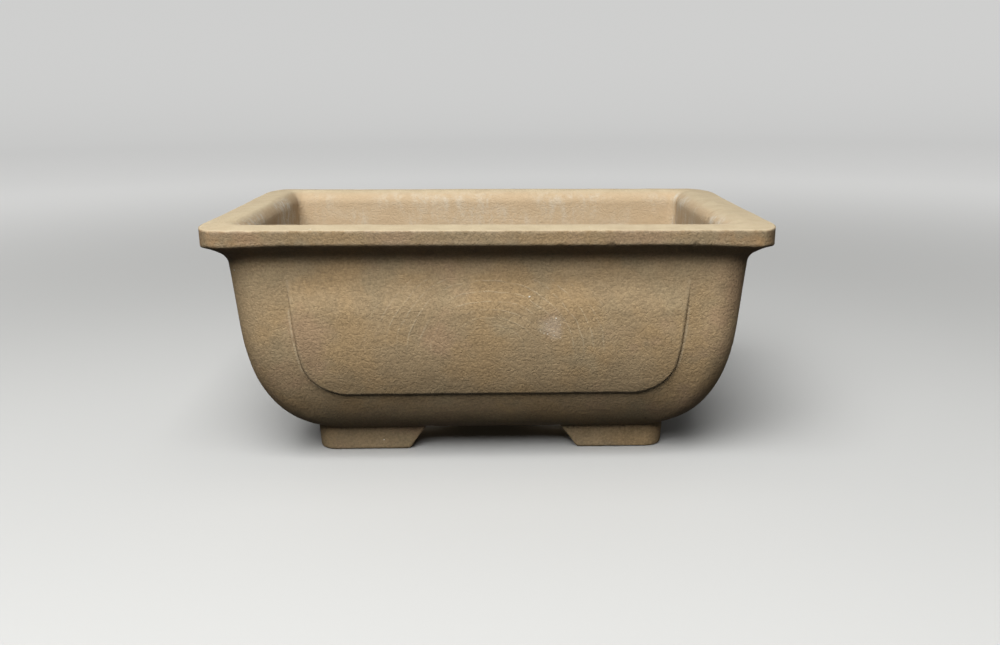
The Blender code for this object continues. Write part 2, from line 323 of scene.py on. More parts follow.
def whole_section():
    """Rows from the floor inside, over the lip, to the underside, and the lip's first and last row.

    A row is (inset, z, x and y extents of the rounded corner in plan)."""
    outside = bag_section()
    thickness = SLAB - THINNER * ramp(outside[:, 1], THIN_FROM, WALL_TOP)
    inside = offset_inwards(outside, thickness[:, None])
    lip = lip_path(float(np.interp(-NECK, -inside[:, 1], inside[:, 0])))
    radius = CORNER - (inside[:, 0] - outside[:, 0])
    inside = np.column_stack([inside, radius, radius])[::-1]
    inside = resampled(inside[inside[:, 1] < NECK], INSIDE_STEP)
    outside = np.column_stack([outside, np.full((len(outside), 2), CORNER)])
    to_wall = ramp(lip[:, 0], 0.0, WALL_INSET)
    inner = np.clip(lip[:, 0] - battered_inset(lip[:, 1]), 0, SLAB)
    lip = np.column_stack([lip, LIP_CORNER_X + (CORNER - LIP_CORNER_X) * to_wall - inner,
                           LIP_CORNER_Y + (CORNER - LIP_CORNER_Y) * to_wall - inner])
    rows = np.concatenate([inside[:-1], lip, outside[1:]])
    return rows, len(inside) - 1, len(inside) - 2 + len(lip)


SECTION, LIP_FIRST, LIP_LAST = whole_section()
CREST_ROW = int(np.argmax(SECTION[:, 1]))
ROWS = np.arange(len(SECTION))
BAG = bag_section()


# ---- meshes ---------------------------------------------------------------------------------
def tube_faces(loops, size):
    """Faces of a closed body made of loops of points, capped at both ends."""
    faces = []
    for j in range(loops - 1):
        for i in range(size):
            k = (i + 1) % size
            faces.append((j * size + i, j * size + k, (j + 1) * size + k, (j + 1) * size + i))
    faces.append(tuple(reversed(range(size))))
    faces.append(tuple(range((loops - 1) * size, loops * size)))
    return faces


def add_piece(node, slot_name, vertices, faces, normals, attributes):
    """Make one closed piece, and put it on the frame in the node's place.

    Attributes are shares and distances for the clay's material. One that isn't given reads as 0,
    apart from the outline, which is then nowhere near."""
    name = "pot_" + node
    mesh = bpy.data.meshes.new(name)
    mesh.from_pydata(vertices.tolist(), [], faces)
    mesh.update()
    mesh.shade_smooth()
    if normals is not None:
        mesh.normals_split_custom_set_from_vertices(normals.tolist())
    for key, values in {"outline": np.full(len(vertices), NO_PANEL), **attributes}.items():
        layer = mesh.attributes.new(key, "FLOAT", "POINT")
        layer.data.foreach_set("value", np.asarray(values, np.float32).ravel())
    mesh.materials.append(CLAY[slot_name])
    piece = bpy.data.objects.new(name, mesh)
    bpy.context.scene.collection.objects.link(piece)
    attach(piece, ROOT)
    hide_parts(node)
    return piece


# ---- walls and lip --------------------------------------------------------------------------
def side_places(half_length):
    """Columns from mitre to mitre, with one spare past each, as (degrees round a corner, share)."""
    step = 45.0 / ARC_COLUMNS
    straight = int(2 * (half_length - CORNER) / STEP)
    places = [(-45.0 + i * step, -1.0) for i in range(-1, ARC_COLUMNS)]
    places += [(0.0, -1 + 2 * i / straight) for i in range(straight + 1)]
    places += [((i + 1) * step, 1.0) for i in range(ARC_COLUMNS + 1)]
    return np.array(places)


def side_skin(half_length, distance, turn):
    """The skin of one side as a grid, still true to the section."""
    places = side_places(half_length)
    angle = np.radians(places[:, 0])[None, :]
    inset = SECTION[:, 0][:, None]
    along, across = (2, 3) if half_length > distance else (3, 2)
    round_x = SECTION[:, along][:, None]
    round_y = SECTION[:, across][:, None]
    x = places[:, 1][None, :] * (half_length - inset - round_x) + np.sin(angle) * round_x
    y = inset + round_y - distance - np.cos(angle) * round_y
    z = np.repeat(SECTION[:, 1][:, None], len(places), axis=1)
    return turned(np.stack([x, y, z], axis=-1), turn)


def corner_distance(points):
    """Distance along the side from the nearest corner of the lip."""
    return np.maximum(HALF_X - np.abs(points[..., 0]), HALF_Y - np.abs(points[..., 1]))


def lip_droop(points):
    """The lower edge of the lip hangs near the corners and along the short sides."""
    outside = (ROWS > CREST_ROW) & (ROWS < LIP_LAST)
    depth = ramp(CREST - CREST_RISE - SECTION[:, 1], 0.2 * FASCIA, FASCIA)
    near_edge = ramp(SECTION[:, 1], NECK, NECK + DROOP_BLEND)
    from_end = HALF_X - np.abs(points[..., 0])
    hang = DROOP * (1 - ramp(from_end, SIDE_LENGTH, DROOP_LENGTH))
    hang += SIDE_DROOP * (1 - ramp(from_end, 0, SIDE_LENGTH))
    dropped = points.copy()
    dropped[..., 2] -= hang * (depth * near_edge * outside)[:, None]
    return dropped


def edge_share(inset, z, width):
    """How near each row of the section is to one of its edges, from 0 to 1."""
    gap = np.hypot(SECTION[:, 0] - inset, SECTION[:, 1] - z)
    return np.exp(-(gap / width) ** 2)


def lip_shade_share(z):
    """Share of painted shade at a height on the outside: all of it is under the lip."""
    low = CREST - CREST_RISE - FASCIA
    return ramp(z, low + 0.1 * MM, low - 0.5 * MM) * ramp(z, low - 9.0 * MM, low - 2.0 * MM)


def nicks(points, size, seed):
    """A few small knocks, as a depth from 0 to 1."""
    return ramp(wobble(points, size, seed), 0.62, 0.95)


def panel_outline_distance(points, half_length, distance):
    """How far points on one wall are inside its panel's outline; the side faces -Y."""
    inset = points[..., 1] + distance
    along = np.interp(-points[..., 2], -BAG[:, 1], arc_length(BAG))
    inside = panel_depth(np.abs(points[..., 0]), along, half_length - inset - PANEL_MARGIN)
    # no line where the panel's top dies away
    return inside - NO_PANEL * ramp(PANEL_START + PANEL_FADE - along, 0, PANEL_FADE)


def panel_depth(across, along, half):
    """Distance inside the panel's sides and lower edge, from a place across and along the section."""
    from_side = half - across
    from_low = PANEL_END - along
    short_x = np.maximum(PANEL_CORNER - from_side, 0)
    short_y = np.maximum(PANEL_CORNER - from_low, 0)
    in_corner = (short_x > 0) & (short_y > 0)
    return np.where(in_corner, PANEL_CORNER - np.hypot(short_x, short_y), np.minimum(from_side, from_low))


def along_at(z):
    """Distance along the wall's section at a height."""
    return float(np.interp(-z, -BAG[:, 1], arc_length(BAG)))


PANEL_START = along_at(float(PANEL_HIGH[2]))
PANEL_END = along_at(float(PANEL_LOW[2]))


def make_side(name, half_length, distance, turn):
    """One wall and its strip of lip."""
    true = side_skin(half_length, distance, turn)
    points = lip_droop(true)
    inner_half = ROWS <= CREST_ROW
    hollow = ramp(SECTION[:, 0], CREST_INSET, CREST_INSET + 5 * MM) * inner_half
    points[..., 0] += CAVITY_SHIFT * hollow[:, None]
    points = settle(points)
    normals = grid_normals(points)
    top = CREST - CREST_RISE
    arris = edge_share(0, top, 0.7 * MM)
    low_edge = edge_share(FASCIA_LEAN, top - FASCIA, 0.9 * MM)
    inner_edge = edge_share(WALL_INSET + SLAB - 2 * MM, CREST - INNER_FALL - MM, 1.8 * MM)
    rise = hand_relief(points)
    rise -= NICK * (arris + low_edge)[:, None] * nicks(points, 2.6 * MM, 31)
    rise -= INNER_NICK * inner_edge[:, None] * nicks(points, 4.2 * MM, 32)
    points = points + normals * rise[..., None]
    normals = grid_normals(points)

    over_edge = ramp(SECTION[:, 0], WALL_INSET + 0.35 * SLAB, WALL_INSET + 0.8 * SLAB)
    within = np.maximum(ROWS <= LIP_FIRST, over_edge * inner_half)
    worn = np.clip(arris + 0.6 * low_edge + 0.5 * inner_edge, 0, 1)
    outline = panel_outline_distance(turned(true, -turn), half_length, distance)
    on_wall = (ROWS >= LIP_LAST)[:, None]
    on_top = ramp(points[..., 2], HEIGHT - 4 * MM, HEIGHT - 2 * MM)

    def all_along(column):
        return np.repeat(column[:, None], points.shape[1], axis=1)
    fields = {
        "worn": all_along(worn),
        # where the lip's top faces up: dust, and a painted sheen
        "top_dust_and_sheen": ramp(normals[..., 2], 0.45, 0.97) * on_top,
        "painted_lip_shade": all_along(lip_shade_share(SECTION[:, 1]) * ~inner_half),
        "within": all_along(within),
        "outline": np.where(on_wall, -outline, NO_PANEL),
        "stain": corner_stain(true),
        "lime": lime_bloom(true, within[:, None], name),
    }
    rows = list(range(LIP_FIRST, LIP_LAST + 1))
    cut_piece("rim_" + name, "clay_rim", rows, points, normals, fields)
    rows = list(range(LIP_LAST, len(SECTION))) + list(range(0, LIP_FIRST + 1))
    cut_piece("wall_" + name, "clay_wall", rows, points, normals, fields)


def cut_piece(node, slot_name, rows, points, normals, fields):
    """Take some rows of the skin, without its spare columns, as one closed piece."""
    def picked(grid):
        return np.swapaxes(grid[rows, 1:-1], 0, 1)
    columns = points.shape[1] - 2
    add_piece(node, slot_name, picked(points).reshape(-1, 3), tube_faces(columns, len(rows)),
              picked(normals).reshape(-1, 3), {key: picked(grid) for key, grid in fields.items()})


def corner_stain(points):
    """Orange-brown flashing on the lip's outer face near the corners."""
    near = 1 - ramp(corner_distance(points), 9 * MM, 24 * MM)
    high = ramp(points[..., 2], WALL_TOP, WALL_TOP + 2 * MM)
    return near * high * (0.7 + 0.3 * wobble(points, 6 * MM, 41))


def lime_bloom(points, within, name):
    """Where hard water has left lime inside the pot: most of it near the lip."""
    strength = {"left": 1.0, "right": 0.8, "back": 0.35, "front": 0.5}[name]
    high = ramp(points[..., 2], HEIGHT - 34 * MM, HEIGHT - 3 * MM)
    patches = ramp(wobble(points, 11 * MM, 42) + 0.5 * wobble(points, 4 * MM, 43), -0.5, 0.7)
    return strength * within * high * patches


# ---- panels ---------------------------------------------------------------------------------
def edge_spacing(length):
    """Places from 0 to length: close together over the rounded edge, then even."""
    angles = np.linspace(0, math.pi / 2, 9)
    edge = PANEL_ROUND * (1 - np.cos(angles))
    count = int((length - 2 * PANEL_ROUND) / STEP)
    middle = np.linspace(PANEL_ROUND, length - PANEL_ROUND, count + 1)[1:-1]
    return np.concatenate([edge, middle, length - edge[::-1]])


def ring_reach(points):
    """Distance from the middle of the rings left where the panel was pressed and smeared."""
    up = points[..., 2] - RING_Z
    reach = np.hypot(points[..., 0] - RING_X, up * RING_SQUASH)
    return reach + 1.1 * MM * wobble(points, 12 * MM, 51) + 0.30 * MM * wobble(points, 3 * MM, 53)


def ringed(points, turn):
    """How strong the rings are: broken, and only over the upper half."""
    reach = ring_reach(points)
    where = ramp(points[..., 2] - RING_Z, -2 * MM, 4 * MM)
    where = where * ramp(reach, 6 * MM, 10 * MM) * (1 - ramp(reach, 28 * MM, 38 * MM))
    return where * ramp(wobble(points + turn, 6 * MM, 52), -0.75, 0.25)


def limed_patch(points):
    """Where specks of lime lie close together."""
    away = np.hypot((points[..., 0] - LIMED_X) / 1.2, points[..., 2] - LIMED_Z)
    return 1 - ramp(away + 1.2 * MM * wobble(points, 2.5 * MM, 54), LIMED_CORE, LIMED_REACH)


def make_panel(name, half_length, distance, turn):
    """One raised panel, bedded into its wall."""
    from_low = edge_spacing(PANEL_END - PANEL_START)
    along = PANEL_END - from_low
    lengths = arc_length(BAG)
    inset = np.interp(along, lengths, BAG[:, 0])
    z = np.interp(along, lengths, BAG[:, 1])
    half = half_length - inset - PANEL_MARGIN
    missing = np.clip(PANEL_CORNER - from_low, 0, PANEL_CORNER)
    pulled = PANEL_CORNER - np.sqrt(PANEL_CORNER ** 2 - missing ** 2)
    across = edge_spacing(2 * float(half.mean()))
    share = across / across[-1] * 2 - 1
    x = share[None, :] * (half - pulled)[:, None]
    y = np.repeat((inset - distance)[:, None], len(share), axis=1)
    base = np.stack([x, y, np.repeat(z[:, None], len(share), axis=1)], axis=-1)
    depth = panel_depth(np.abs(x), along[:, None], half[:, None])
    depth[0, :] = 0
    depth[:, [0, -1]] = 0
    lift = PANEL_PROUD * np.sqrt(1 - (1 - np.clip(depth / PANEL_ROUND, 0, 1)) ** 2)
    lift *= ramp(along - PANEL_START, 0, PANEL_FADE)[:, None]

    points = settle(turned(base, turn))
    normals = -grid_normals(points)
    front = points + normals * (hand_relief(points) + lift)[..., None]
    buried = points[:, [-1, 0]] - normals[:, [-1, 0]] * PANEL_BED
    loops = np.concatenate([front, buried], axis=1)
    front_normals = -grid_normals(front)
    loop_normals = np.concatenate([front_normals, np.zeros_like(buried)], axis=1)

    def with_back(grid):
        return np.concatenate([grid, grid[:, [-1, 0]]], axis=1)
    worn = np.exp(-((depth - 0.45 * MM) / (0.5 * MM)) ** 2) * 0.6
    fields = {
        "worn": with_back(worn),
        "outline": with_back(-depth),
        "painted_lip_shade": with_back(lip_shade_share(base[..., 2])),
        "ring": with_back(ring_reach(base)),
        "ringed": with_back(ringed(base, turn)),
        "limed": with_back(limed_patch(base)) * (name == "front"),
    }
    add_piece("panel_" + name, "clay_panel", loops.reshape(-1, 3), tube_faces(*loops.shape[:2]),
              loop_normals.reshape(-1, 3), fields)


# ---- feet and floor -------------------------------------------------------------------------
def prism(low_outline, high_outline, low_z, high_z):
    """Closed body between two outlines with the same number of points."""
    bm = bmesh.new()
    low = [bm.verts.new((x, y, low_z)) for x, y in low_outline]
    high = [bm.verts.new((x, y, high_z)) for x, y in high_outline]
    for i in range(len(low)):
        j = (i + 1) % len(low)
        bm.faces.new((low[i], low[j], high[j], high[i]))
    bm.faces.new(list(reversed(low)))
    bm.faces.new(high)
    bm.normal_update()
    return bm


def helper_object(name, bm):
    """A passing object made from a body."""
    mesh = bpy.data.meshes.new(name)
    bm.to_mesh(mesh)
    bm.free()
    helper = bpy.data.objects.new(name, mesh)
    bpy.context.scene.collection.objects.link(helper)
    return helper


def softened(bm, voxel):
    """A body remeshed evenly with its edges softened: its vertices, faces and normals."""
    body = helper_object("soft", bm)
    mesh = body.data
    remesh = body.modifiers.new("remesh", "REMESH")
    remesh.mode = "VOXEL"
    remesh.voxel_size = voxel
    smooth = body.modifiers.new("smooth", "SMOOTH")
    smooth.factor = 0.5
    smooth.iterations = SOFT_ROUNDS
    done = body.evaluated_get(bpy.context.evaluated_depsgraph_get()).to_mesh()
    vertices = np.zeros(len(done.vertices) * 3)
    normals = np.zeros(len(done.vertices) * 3)
    done.vertices.foreach_get("co", vertices)
    done.vertices.foreach_get("normal", normals)
    faces = [tuple(polygon.vertices) for polygon in done.polygons]
    bpy.data.objects.remove(body, do_unlink=True)
    bpy.data.meshes.remove(mesh)
    return vertices.reshape(-1, 3), faces, normals.reshape(-1, 3)


def arc_points(x, y, radius, start, count):
    """A quarter turn of points about (x, y), counter-clockwise from a heading in degrees."""
    angles = np.radians(start + np.linspace(0, 90, count))
    return [(x + radius * math.cos(a), y + radius * math.sin(a)) for a in angles]


def foot_outline(z, long):
    """L-shaped plan of the front right foot at a height."""
    share = (UNDERSIDE - z) / UNDERSIDE
    lean = FOOT_LEAN * max(share, 0.0)
    right = HALF_X - FOOT_INSET - lean
    front = FOOT_INSET - HALF_Y + lean
    left = HALF_X - FOOT_INSET - long + FOOT_RAKE * share
    back = FOOT_INSET - HALF_Y + FOOT_SHORT - FOOT_RAKE * share
    inner_x = HALF_X - FOOT_INSET - FOOT_BAND
    inner_y = FOOT_INSET + FOOT_BAND - HALF_Y
    outline = [(left, front)]
    outline += arc_points(right - FOOT_CORNER, front + FOOT_CORNER, FOOT_CORNER, 270, 9)
    return outline + [(right, back), (inner_x, back), (inner_x, inner_y), (left, inner_y)]


def make_foot(name, sign_x, sign_y):
    """One corner foot, mirrored from the front right one."""
    long = FOOT_LONG + FOOT_LONGER - FOOT_UNEVEN * sign_x
    bm = prism(foot_outline(0.0, long), foot_outline(FOOT_TOP, long), 0.0, FOOT_TOP)
    under = [e for e in bm.edges if max(v.co.z for v in e.verts) < 1e-6]
    bmesh.ops.bevel(bm, geom=under, offset=FOOT_BEVEL, segments=3, profile=0.5, affect="EDGES")
    vertices, faces, normals = softened(bm, FOOT_VOXEL)
    flip = np.array([sign_x, -sign_y, 1])
    vertices = vertices * flip
    normals = normals * flip
    if sign_x * sign_y > 0:
        faces = [tuple(reversed(face)) for face in faces]
    standing = 1 - ramp(vertices[:, 2], 0.1 * MM, 0.7 * MM)
    rise = hand_relief(vertices) * (1 - standing)
    points = settle(vertices) + normals * rise[:, None]
    points[:, 2] = np.maximum(points[:, 2], 0)
    add_piece("foot_" + name, "clay_foot", points, faces, None, {"worn": 0.8 * standing})


def floor_outline():
    """Rounded plan of the floor, run into the walls."""
    half_x = float(FLOOR_HIGH[0]) + FLOOR_BED
    half_y = float(FLOOR_HIGH[1]) + FLOOR_BED
    outline = []
    for quarter, (sign_x, sign_y) in enumerate(((1, 1), (-1, 1), (-1, -1), (1, -1))):
        middle = (sign_x * (half_x - CORNER), sign_y * (half_y - CORNER))
        outline += arc_points(*middle, CORNER, quarter * 90, 9)
    return outline


def with_holes(bm, holes):
    """A body with round holes cut through it, each given as (x, y, radius)."""
    body = helper_object("holed", bm)
    cutters = []
    for x, y, radius in holes:
        drill = bmesh.new()
        bmesh.ops.create_cone(drill, cap_ends=True, segments=48, radius1=radius, radius2=radius,
                              depth=4 * SLAB, matrix=Matrix.Translation((x, y, UNDERSIDE)))
        cutters.append(helper_object("hole", drill))
        cut = body.modifiers.new("hole", "BOOLEAN")
        cut.operation = "DIFFERENCE"
        cut.solver = "EXACT"
        cut.object = cutters[-1]
    cut_body = bmesh.new()
    cut_body.from_mesh(body.evaluated_get(bpy.context.evaluated_depsgraph_get()).to_mesh())
    for extra in cutters + [body]:
        bpy.data.objects.remove(extra, do_unlink=True)
    return cut_body


def make_floor():
    """The floor slab with its drainage and wire holes."""
    outline = floor_outline()
    low = UNDERSIDE + FLOOR_RAISED
    high = UNDERSIDE + SLAB - FLOOR_LOWERED
    holes = [(side * DRAIN_X, 0.0, DRAIN_RADIUS) for side in (-1, 1)]
    holes += [(i * WIRE_X, j * WIRE_Y, WIRE_RADIUS) for i in (-1, 1) for j in (-1, 1)]
    vertices, faces, normals = softened(with_holes(prism(outline, outline, low, high), holes), FLOOR_VOXEL)
    points = settle(vertices) + normals * hand_relief(vertices)[:, None]
    inside = ramp(vertices[:, 2], low + 0.3 * SLAB, high - 0.1 * SLAB)
    add_piece("floor", "clay_floor", points, faces, None, {"within": inside, "lime": 0.25 * inside})


# ---- fired clay -----------------------------------------------------------------------------
class Graph:
    """Short names for the shader nodes that the clay is made of."""

    def __init__(self, tree):
        self.tree = tree
        self.place = self.add("ShaderNodeTexCoord").outputs["Object"]
        split = self.add("ShaderNodeSeparateXYZ")
        self.feed(split.inputs[0], self.place)
        self.height = split.outputs[2]

    def add(self, kind, **settings):
        """A new node with its settings."""
        node = self.tree.nodes.new(kind)
        for key, value in settings.items():
            setattr(node, key, value)
        return node

    def feed(self, socket, value):
        """Link a socket, or set its value."""
        if isinstance(value, bpy.types.NodeSocket):
            self.tree.links.new(value, socket)
        elif isinstance(value, tuple) and socket.type == "RGBA":
            socket.default_value = (*value, 1.0)
        else:
            socket.default_value = value

    def attribute(self, name):
        """A mesh attribute's value."""
        return self.add("ShaderNodeAttribute", attribute_name=name).outputs["Fac"]

    def maths(self, operation, a, b=0.0):
        """One operation on one or two values."""
        node = self.add("ShaderNodeMath", operation=operation)
        self.feed(node.inputs[0], a)
        self.feed(node.inputs[1], b)
        return node.outputs[0]

    def stretch(self, x, y, z, shift=0.0):
        """The place, stretched along each axis and shifted."""
        node = self.add("ShaderNodeMapping")
        self.feed(node.inputs["Vector"], self.place)
        node.inputs["Scale"].default_value = (x, y, z)
        node.inputs["Location"].default_value = (shift, shift * 0.7, -shift)
        return node.outputs["Vector"]

    def noise(self, size, shift, detail=3.0, roughness=0.55, vector=None):
        """Noise from about 0.25 to 0.75, with features of one size in metres."""
        node = self.add("ShaderNodeTexNoise")
        self.feed(node.inputs["Vector"], vector or self.stretch(1, 1, 1, shift))
        node.inputs["Scale"].default_value = 1 / size
        node.inputs["Detail"].default_value = detail
        node.inputs["Roughness"].default_value = roughness
        return node.outputs["Fac"]

    def step(self, value, start, end, low=0.0, high=1.0):
        """Smooth step of a value."""
        node = self.add("ShaderNodeMapRange", interpolation_type="SMOOTHSTEP", clamp=True)
        for socket, given in zip(node.inputs[:5], (value, start, end, low, high)):
            self.feed(socket, given)
        return node.outputs["Result"]

    def blend(self, share, a, b, mode="MIX"):
        """Mix two colours."""
        node = self.add("ShaderNodeMix", data_type="RGBA", blend_type=mode)
        self.feed(node.inputs[0], share)
        self.feed(node.inputs[6], a)
        self.feed(node.inputs[7], b)
        return node.outputs[2]

    def times(self, *values):
        """The product of some values."""
        total = values[0]
        for value in values[1:]:
            total = self.maths("MULTIPLY", total, value)
        return total

    def total(self, *values):
        """The sum of some values."""
        total = values[0]
        for value in values[1:]:
            total = self.maths("ADD", total, value)
        return total


BODY = (0.335, 0.242, 0.134)
PALE = (0.56, 0.47, 0.33)
LIME = (0.70, 0.70, 0.63)


def tinted(colour, red, green, blue):
    """A colour with its channels scaled."""
    return (colour[0] * red, colour[1] * green, colour[2] * blue)


def specks(g, size, keep, radius, shift):
    """Scattered specks: cells of one size, a share of them kept."""
    wander = g.add("ShaderNodeTexNoise")
    g.feed(wander.inputs["Vector"], g.place)
    wander.inputs["Scale"].default_value = 1 / (0.9 * MM)
    spread = g.add("ShaderNodeVectorMath", operation="SCALE")
    g.feed(spread.inputs[0], wander.outputs["Color"])
    spread.inputs["Scale"].default_value = 0.9 * MM
    warped = g.add("ShaderNodeVectorMath", operation="ADD")
    g.feed(warped.inputs[0], g.stretch(1, 1, 1, shift))
    g.feed(warped.inputs[1], spread.outputs[0])
    node = g.add("ShaderNodeTexVoronoi", feature="F1")
    g.feed(node.inputs["Vector"], warped.outputs[0])
    node.inputs["Scale"].default_value = 1 / size
    chosen = g.add("ShaderNodeSeparateColor")
    g.feed(chosen.inputs[0], node.outputs["Color"])
    kept = g.maths("GREATER_THAN", chosen.outputs[0], 1 - keep)
    width = g.step(chosen.outputs[1], 0.0, 1.0, 0.4 * radius, radius)
    away = g.maths("MULTIPLY", node.outputs["Distance"], size)
    return g.times(kept, g.step(g.maths("DIVIDE", away, width), 1.0, 0.55))


def bare_clay(g):
    """Colour of the body: broad patches, sand, painted shade towards the bottom and over the lip, and fine
    iron specks.
    """
    colour = g.blend(g.step(g.noise(17 * MM, 1.3), 0.42, 0.62), BODY, tinted(BODY, 1.05, 1.00, 0.92))
    colour = g.blend(g.step(g.noise(13 * MM, 2.7), 0.50, 0.68), colour, tinted(BODY, 0.96, 0.99, 1.01))
    colour = g.blend(g.step(g.noise(19 * MM, 4.1), 0.52, 0.66), colour, tinted(BODY, 1.05, 0.99, 1.02))
    cloud = g.step(g.noise(7 * MM, 5.2, 5.0, 0.6), 0.3, 0.7, 0.94, 1.06)
    sand = g.step(g.noise(0.70 * MM, 6.4, 4.0, 0.7), 0.3, 0.7, 0.80, 1.18)
    # painted shade: darker towards the bottom, where the wall rolls under, and darker again over the lip
    # from just under it upwards
    painted_shade_falloff = g.times(g.step(g.height, 20 * MM, 52 * MM, 0.72, 0.93),
                    g.step(g.height, 57 * MM, 61 * MM, 1.0, 0.70))
    tone = g.add("ShaderNodeCombineColor")
    for socket in tone.inputs[:3]:
        g.feed(socket, g.times(cloud, sand, painted_shade_falloff))
    colour = g.blend(1.0, colour, tone.outputs[0], "MULTIPLY")
    iron = specks(g, 2.2 * MM, 0.10, 0.22 * MM, 7.7)
    return g.blend(g.times(iron, 0.55), colour, tinted(BODY, 0.3, 0.3, 0.3))


def stained_and_shaded_outside(g, colour):
    """Flashing at the lip's corners, painted shade along the panel's crease with a paler broken line
    beside it, and painted shade under the lip.
    """
    stain = g.times(g.attribute("stain"), g.step(g.noise(3 * MM, 8.8), 0.35, 0.6))
    colour = g.blend(g.times(stain, 0.35), colour, tinted(BODY, 0.95, 0.66, 0.42))
    outline = g.attribute("outline")
    # painted shade along the panel's crease, stronger towards its lower edge
    painted_crease_shade = g.times(g.step(outline, -0.40 * MM, -0.05 * MM), g.step(outline, 0.35 * MM, 0.10 * MM))
    low_down = g.step(g.height, 44 * MM, 24 * MM, 0.12, 0.75)
    colour = g.blend(g.times(painted_crease_shade, low_down), colour, tinted(BODY, 0.4, 0.4, 0.4))
    # a paler broken line just outside the panel's edge
    broken = g.step(g.noise(5 * MM, 9.1), 0.36, 0.52)
    pale_line = g.times(g.step(outline, 0.15 * MM, 0.40 * MM), g.step(outline, 0.95 * MM, 0.60 * MM), broken)
    colour = g.blend(g.times(pale_line, 0.25), colour, PALE)
    # painted shade under the lip, where its shadow falls
    return g.blend(g.times(g.attribute("painted_lip_shade"), 0.42), colour, tinted(BODY, 0.22, 0.22, 0.22))


def dust_and_sheen_top(g, colour):
    """Where the lip's top faces up it is paler and less saturated: partly dust, partly a painted sheen."""
    top_dust_and_sheen = g.times(g.attribute("top_dust_and_sheen"), g.step(g.noise(5 * MM, 22.3, 4.0), 0.3, 0.7, 0.75, 1.0))
    return g.blend(top_dust_and_sheen, colour, tinted(BODY, 1.14, 1.29, 1.52))


def weathered_inside(g, colour):
    """Rinsed pale at the top of the inside, and dark with soil lower down."""
    within = g.attribute("within")
    rinsed = g.times(within, g.step(g.height, 30 * MM, 52 * MM, 0.2, 0.9))
    colour = g.blend(rinsed, colour, tinted(BODY, 1.18, 1.22, 1.36))
    deep = g.step(g.height, 48 * MM, 14 * MM)
    soil = g.times(within, deep, g.step(g.noise(7 * MM, 11.9, 4.0), 0.25, 0.7, 0.25, 0.75))
    return g.blend(soil, colour, tinted(BODY, 0.42, 0.40, 0.38))


def lime_crust(g):
    """Share of lime left inside by hard water, in streaks."""
    streak = g.noise(2.6 * MM, 0.0, 4.0, 0.6, g.stretch(1, 1, 0.30, 12.5))
    crust = g.noise(0.9 * MM, 13.2, 4.0, 0.7)
    patchy = g.total(g.times(streak, 0.6), g.times(crust, 0.4))
    return g.times(g.attribute("lime"), g.step(patchy, 0.40, 0.68))


def smeared_rings(g):
    """Share of the thin broken rings in the panels, for their relief and their painted highlight."""
    turns = g.maths("MULTIPLY", g.attribute("ring"), 2 * math.pi / RING_SPACING)
    return g.times(g.step(g.maths("COSINE", turns), 0.84, 1.0), g.attribute("ringed"),
                   g.step(g.noise(2.2 * MM, 24.4), 0.36, 0.56))


def lime_specks(g, keep):
    """Lime specks on the outside: fine ones in crowds, a few coarse ones, and the limed patch."""
    crowd = g.step(g.noise(17 * MM, 14.6, 2.0), 0.50, 0.68)
    fine = g.times(specks(g, 1.7 * MM, keep, 0.26 * MM, 15.5), crowd)
    coarse = specks(g, 7.0 * MM, 0.16, 0.55 * MM, 16.9)
    close = g.times(specks(g, 0.85 * MM, 0.45, 0.30 * MM, 23.1), g.attribute("limed"))
    return g.maths("MAXIMUM", g.maths("MAXIMUM", fine, coarse), close)


def clay_relief(g, *extra):
    """Height in millimetres: leathery crinkle, sand, drag marks, pinholes and what else is given."""
    ridge = g.maths("ABSOLUTE", g.maths("SUBTRACT", g.noise(1.5 * MM, 17.4, 2.0, 0.5), 0.5))
    crinkle = g.times(g.step(ridge, 0.0, 0.12), 0.052)
    grain = g.times(g.noise(0.45 * MM, 18.2, 3.0, 0.65), 0.090)
    drag = g.times(g.noise(2.4 * MM, 0.0, 3.0, 0.6, g.stretch(0.5, 0.5, 1.0, 19.6)), 0.04)
    pinholes = g.times(specks(g, 1.9 * MM, 0.22, 0.24 * MM, 20.8), -0.05)
    return g.total(crinkle, grain, drag, pinholes, *extra)


def stoneware(name, speck_share):
    """Unglazed fired clay: mottled, sandy, dragged, worn pale at its edges and limed inside."""
    material = bpy.data.materials.new(name)
    material.use_nodes = True
    g = Graph(material.node_tree)
    shader = material.node_tree.nodes["Principled BSDF"]

    rubbed = g.times(g.attribute("worn"), g.step(g.noise(1.8 * MM, 10.3, 4.0), 0.34, 0.60))
    crust = lime_crust(g)
    rings = smeared_rings(g)
    white = lime_specks(g, speck_share)
    colour = dust_and_sheen_top(g, stained_and_shaded_outside(g, bare_clay(g)))
    colour = g.blend(g.times(rubbed, 0.22), colour, PALE)
    colour = weathered_inside(g, colour)
    colour = g.blend(g.times(crust, 0.55), colour, tinted(LIME, 0.86, 0.95, 1.02))
    # painted highlight: the rings' ridges are paled as if lit from above, besides their relief in the bump
    colour = g.blend(g.times(rings, 0.22), colour, PALE)
    colour = g.blend(g.times(g.attribute("limed"), 0.10), colour, LIME)
    colour = g.blend(g.times(white, 0.85), colour, LIME)
    g.feed(shader.inputs["Base Color"], colour)

    bump = g.add("ShaderNodeBump")
    bump.inputs["Strength"].default_value = 1.0
    bump.inputs["Distance"].default_value = MM
    raised = (g.times(rings, 0.035), g.times(white, 0.03), g.times(crust, 0.02))
    g.feed(bump.inputs["Height"], clay_relief(g, *raised))
    g.feed(shader.inputs["Normal"], bump.outputs["Normal"])

    rough = g.step(g.noise(4 * MM, 21.5, 4.0), 0.3, 0.7, 0.74, 0.90)
    g.feed(shader.inputs["Roughness"], g.maths("SUBTRACT", rough, g.times(rubbed, 0.10)))
    shader.inputs["Specular IOR Level"].default_value = 0.35
    shader.inputs["Metallic"].default_value = 0.0
    return material


